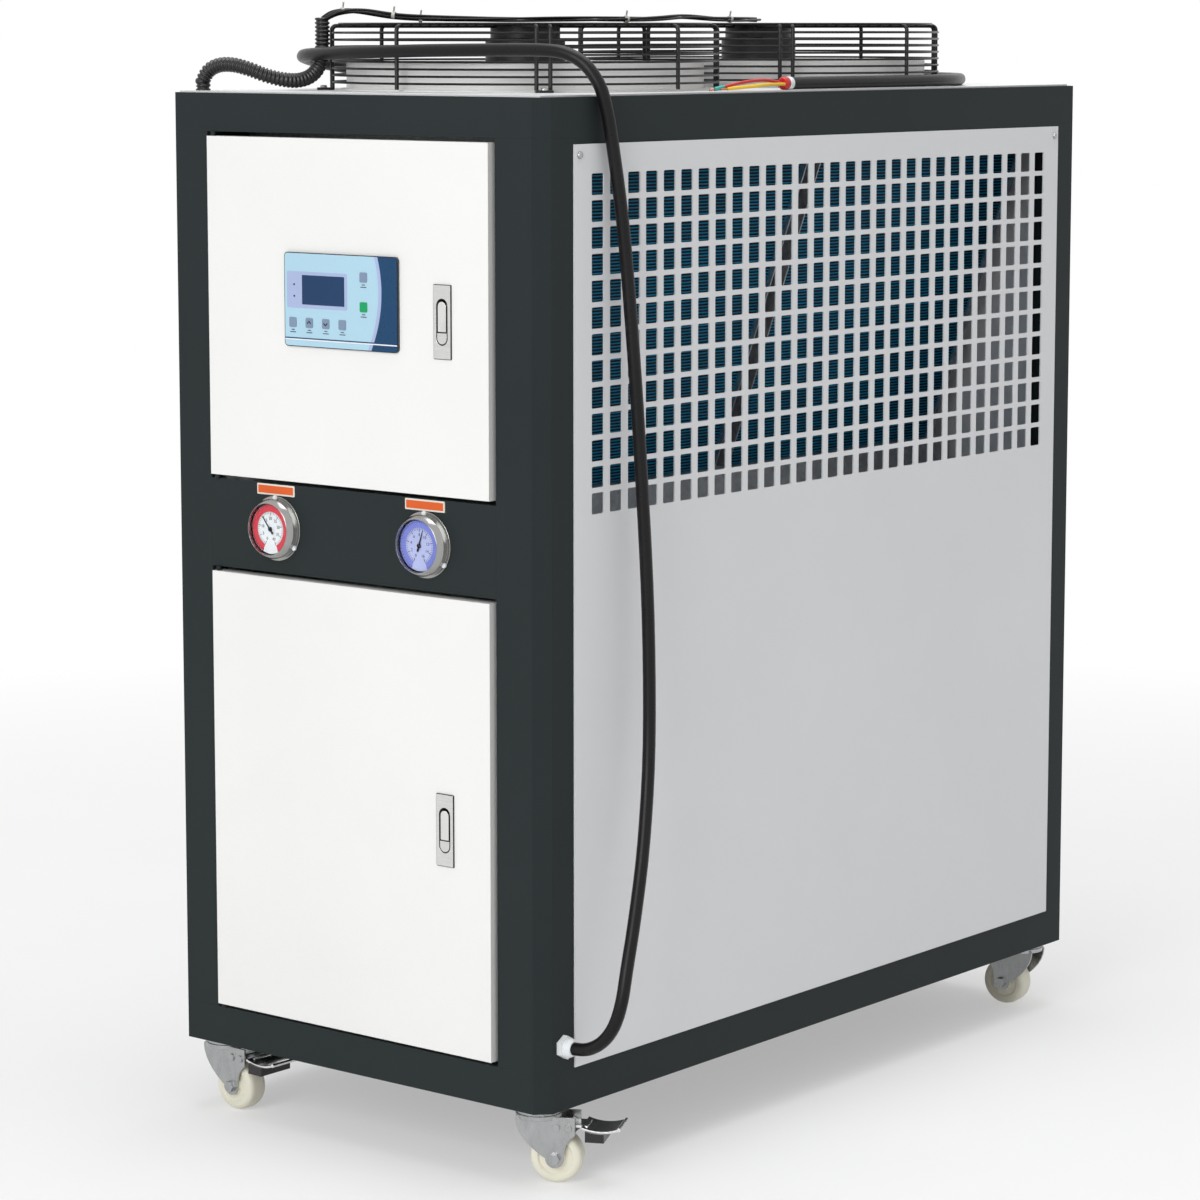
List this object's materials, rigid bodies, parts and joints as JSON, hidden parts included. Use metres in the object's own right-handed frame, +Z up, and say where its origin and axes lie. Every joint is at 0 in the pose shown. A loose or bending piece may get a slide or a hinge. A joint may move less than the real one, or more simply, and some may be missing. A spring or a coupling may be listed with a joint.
{
  "type": "air cooled water chiller",
  "caption": "Upright air cooled water chiller on casters: charcoal frame, hinged white doors, gauges, perforated sides over leaning coils, and guarded fans on the deck.",
  "frame": {"origin": "on the floor under the middle of the cabinet", "axes": "+Z up, -Y out of the front doors, +X towards the right side panel"},
  "size_m": [0.6775, 1.1482, 1.3375],
  "materials": {
    "charcoal_frame": "fine textured powder coat, semi matt",
    "grey_panel": "smooth semi gloss powder coat",
    "galvanised_sheet": "zinc coated sheet",
    "coil_fins": "blue hydrophilic coating",
    "copper_pipe": "bare copper",
    "guard_wire": "black coated wire",
    "fan_black": "satin black",
    "polished_steel": "polished",
    "gauge_face": "printed dial",
    "gauge_glass": "clear",
    "orange_label": "bare orange plate",
    "white_door": "smooth gloss powder coat",
    "control_membrane": "membrane keypad",
    "brass_port": "machined",
    "zinc_caster": "bright zinc plate",
    "ivory_wheel": "nylon",
    "conduit_plastic": "corrugated",
    "cord_rubber": "rubber sheath",
    "gland_plastic": "nylon",
    "core_insulation": "coloured wire insulation"
  },
  "bodies": {
    "root": {"base_frame": "charcoal_frame", "base_pan": "charcoal_frame", "front_posts": "charcoal_frame", "rear_posts": "charcoal_frame", "top_frame": "charcoal_frame", "gauge_rail": "charcoal_frame", "deck_panel": "grey_panel", "right_side_panel": "grey_panel", "left_side_panel": "grey_panel", "rear_panel": "grey_panel", "inner_bulkhead": "galvanised_sheet", "coil_tray": "galvanised_sheet", "fin_packs": "coil_fins", "coil_end_plates": "galvanised_sheet", "header_pipes": "copper_pipe", "fan_rings": "grey_panel", "front_fan_guard": "guard_wire", "rear_fan_guard": "guard_wire", "fan_motors": "fan_black", "gauge_cases": "polished_steel", "gauge_dials": "gauge_face", "gauge_lenses": "gauge_glass", "label_plates": "orange_label", "door_hinge_pins": "polished_steel", "water_ports": "brass_port", "caster_plates": "zinc_caster", "conduit": "conduit_plastic", "motor_leads": "cord_rubber", "cable_gland": "gland_plastic", "power_cord": "cord_rubber", "cord_cores": "core_insulation"},
    "upper_door": {"upper_door": "white_door", "control_panel": "control_membrane", "upper_latch": "polished_steel"},
    "lower_door": {"lower_door": "white_door", "lower_latch": "polished_steel"},
    "upper_handle": {"upper_handle": "polished_steel"},
    "lower_handle": {"lower_handle": "polished_steel"},
    "front_fan": {"front_fan_rotor": "fan_black"},
    "rear_fan": {"rear_fan_rotor": "fan_black"},
    "front_left_caster": {"front_left_yoke": "zinc_caster"},
    "front_left_wheel": {"front_left_wheel": "ivory_wheel"},
    "front_left_pedal": {"front_left_pedal": "zinc_caster", "front_left_brake_bar": "conduit_plastic"},
    "front_right_caster": {"front_right_yoke": "zinc_caster"},
    "front_right_wheel": {"front_right_wheel": "ivory_wheel"},
    "front_right_pedal": {"front_right_pedal": "zinc_caster", "front_right_brake_bar": "conduit_plastic"},
    "rear_left_caster": {"rear_left_yoke": "zinc_caster"},
    "rear_left_wheel": {"rear_left_wheel": "ivory_wheel"},
    "rear_right_caster": {"rear_right_yoke": "zinc_caster"},
    "rear_right_wheel": {"rear_right_wheel": "ivory_wheel"}
  },
  "joints": [
    {"name": "upper_door_hinge", "type": "hinge", "parent": "root", "child": "upper_door", "pos_m": [-0.211, -0.556, 0.988], "axis": [0, 0, -1], "range_deg": [0, 115]},
    {"name": "lower_door_hinge", "type": "hinge", "parent": "root", "child": "lower_door", "pos_m": [-0.211, -0.556, 0.407], "axis": [0, 0, -1], "range_deg": [0, 115]},
    {"name": "upper_handle_lift", "type": "hinge", "parent": "upper_door", "child": "upper_handle", "pos_m": [0.15, -0.5585, 1.005], "axis": [-1, 0, 0], "range_deg": [0, 40]},
    {"name": "lower_handle_lift", "type": "hinge", "parent": "lower_door", "child": "lower_handle", "pos_m": [0.15, -0.5585, 0.423], "axis": [-1, 0, 0], "range_deg": [0, 40]},
    {"name": "front_fan_spin", "type": "hinge", "parent": "root", "child": "front_fan", "pos_m": [0, -0.236, 1.27], "axis": [0, 0, 1], "continuous": true},
    {"name": "rear_fan_spin", "type": "hinge", "parent": "root", "child": "rear_fan", "pos_m": [0, 0.236, 1.27], "axis": [0, 0, 1], "continuous": true},
    {"name": "front_left_swivel", "type": "hinge", "parent": "root", "child": "front_left_caster", "pos_m": [-0.248, -0.513, 0.078], "axis": [0, 0, 1], "continuous": true},
    {"name": "front_left_wheel_spin", "type": "hinge", "parent": "front_left_caster", "child": "front_left_wheel", "pos_m": [-0.226, -0.51338, 0.0305], "axis": [-0.0175, -0.9998, 0], "continuous": true},
    {"name": "front_left_pedal_lift", "type": "hinge", "parent": "front_left_caster", "child": "front_left_pedal", "pos_m": [-0.21001, -0.51366, 0.067], "axis": [-0.0175, -0.9998, 0], "range_deg": [0, 10]},
    {"name": "front_right_swivel", "type": "hinge", "parent": "root", "child": "front_right_caster", "pos_m": [0.248, -0.513, 0.078], "axis": [0, 0, 1], "continuous": true},
    {"name": "front_right_wheel_spin", "type": "hinge", "parent": "front_right_caster", "child": "front_right_wheel", "pos_m": [0.2676, -0.50301, 0.0305], "axis": [0.454, -0.891, 0], "continuous": true},
    {"name": "front_right_pedal_lift", "type": "hinge", "parent": "front_right_caster", "child": "front_right_pedal", "pos_m": [0.28186, -0.49575, 0.067], "axis": [0.454, -0.891, 0], "range_deg": [0, 10]},
    {"name": "rear_left_swivel", "type": "hinge", "parent": "root", "child": "rear_left_caster", "pos_m": [-0.248, 0.513, 0.078], "axis": [0, 0, 1], "continuous": true},
    {"name": "rear_left_wheel_spin", "type": "hinge", "parent": "rear_left_caster", "child": "rear_left_wheel", "pos_m": [-0.26995, 0.51453, 0.0305], "axis": [0.0698, 0.9976, 0], "continuous": true},
    {"name": "rear_right_swivel", "type": "hinge", "parent": "root", "child": "rear_right_caster", "pos_m": [0.248, 0.513, 0.078], "axis": [0, 0, 1], "continuous": true},
    {"name": "rear_right_wheel_spin", "type": "hinge", "parent": "rear_right_caster", "child": "rear_right_wheel", "pos_m": [0.22605, 0.51146, 0.0305], "axis": [-0.0698, 0.9976, 0], "continuous": true}
  ]
}
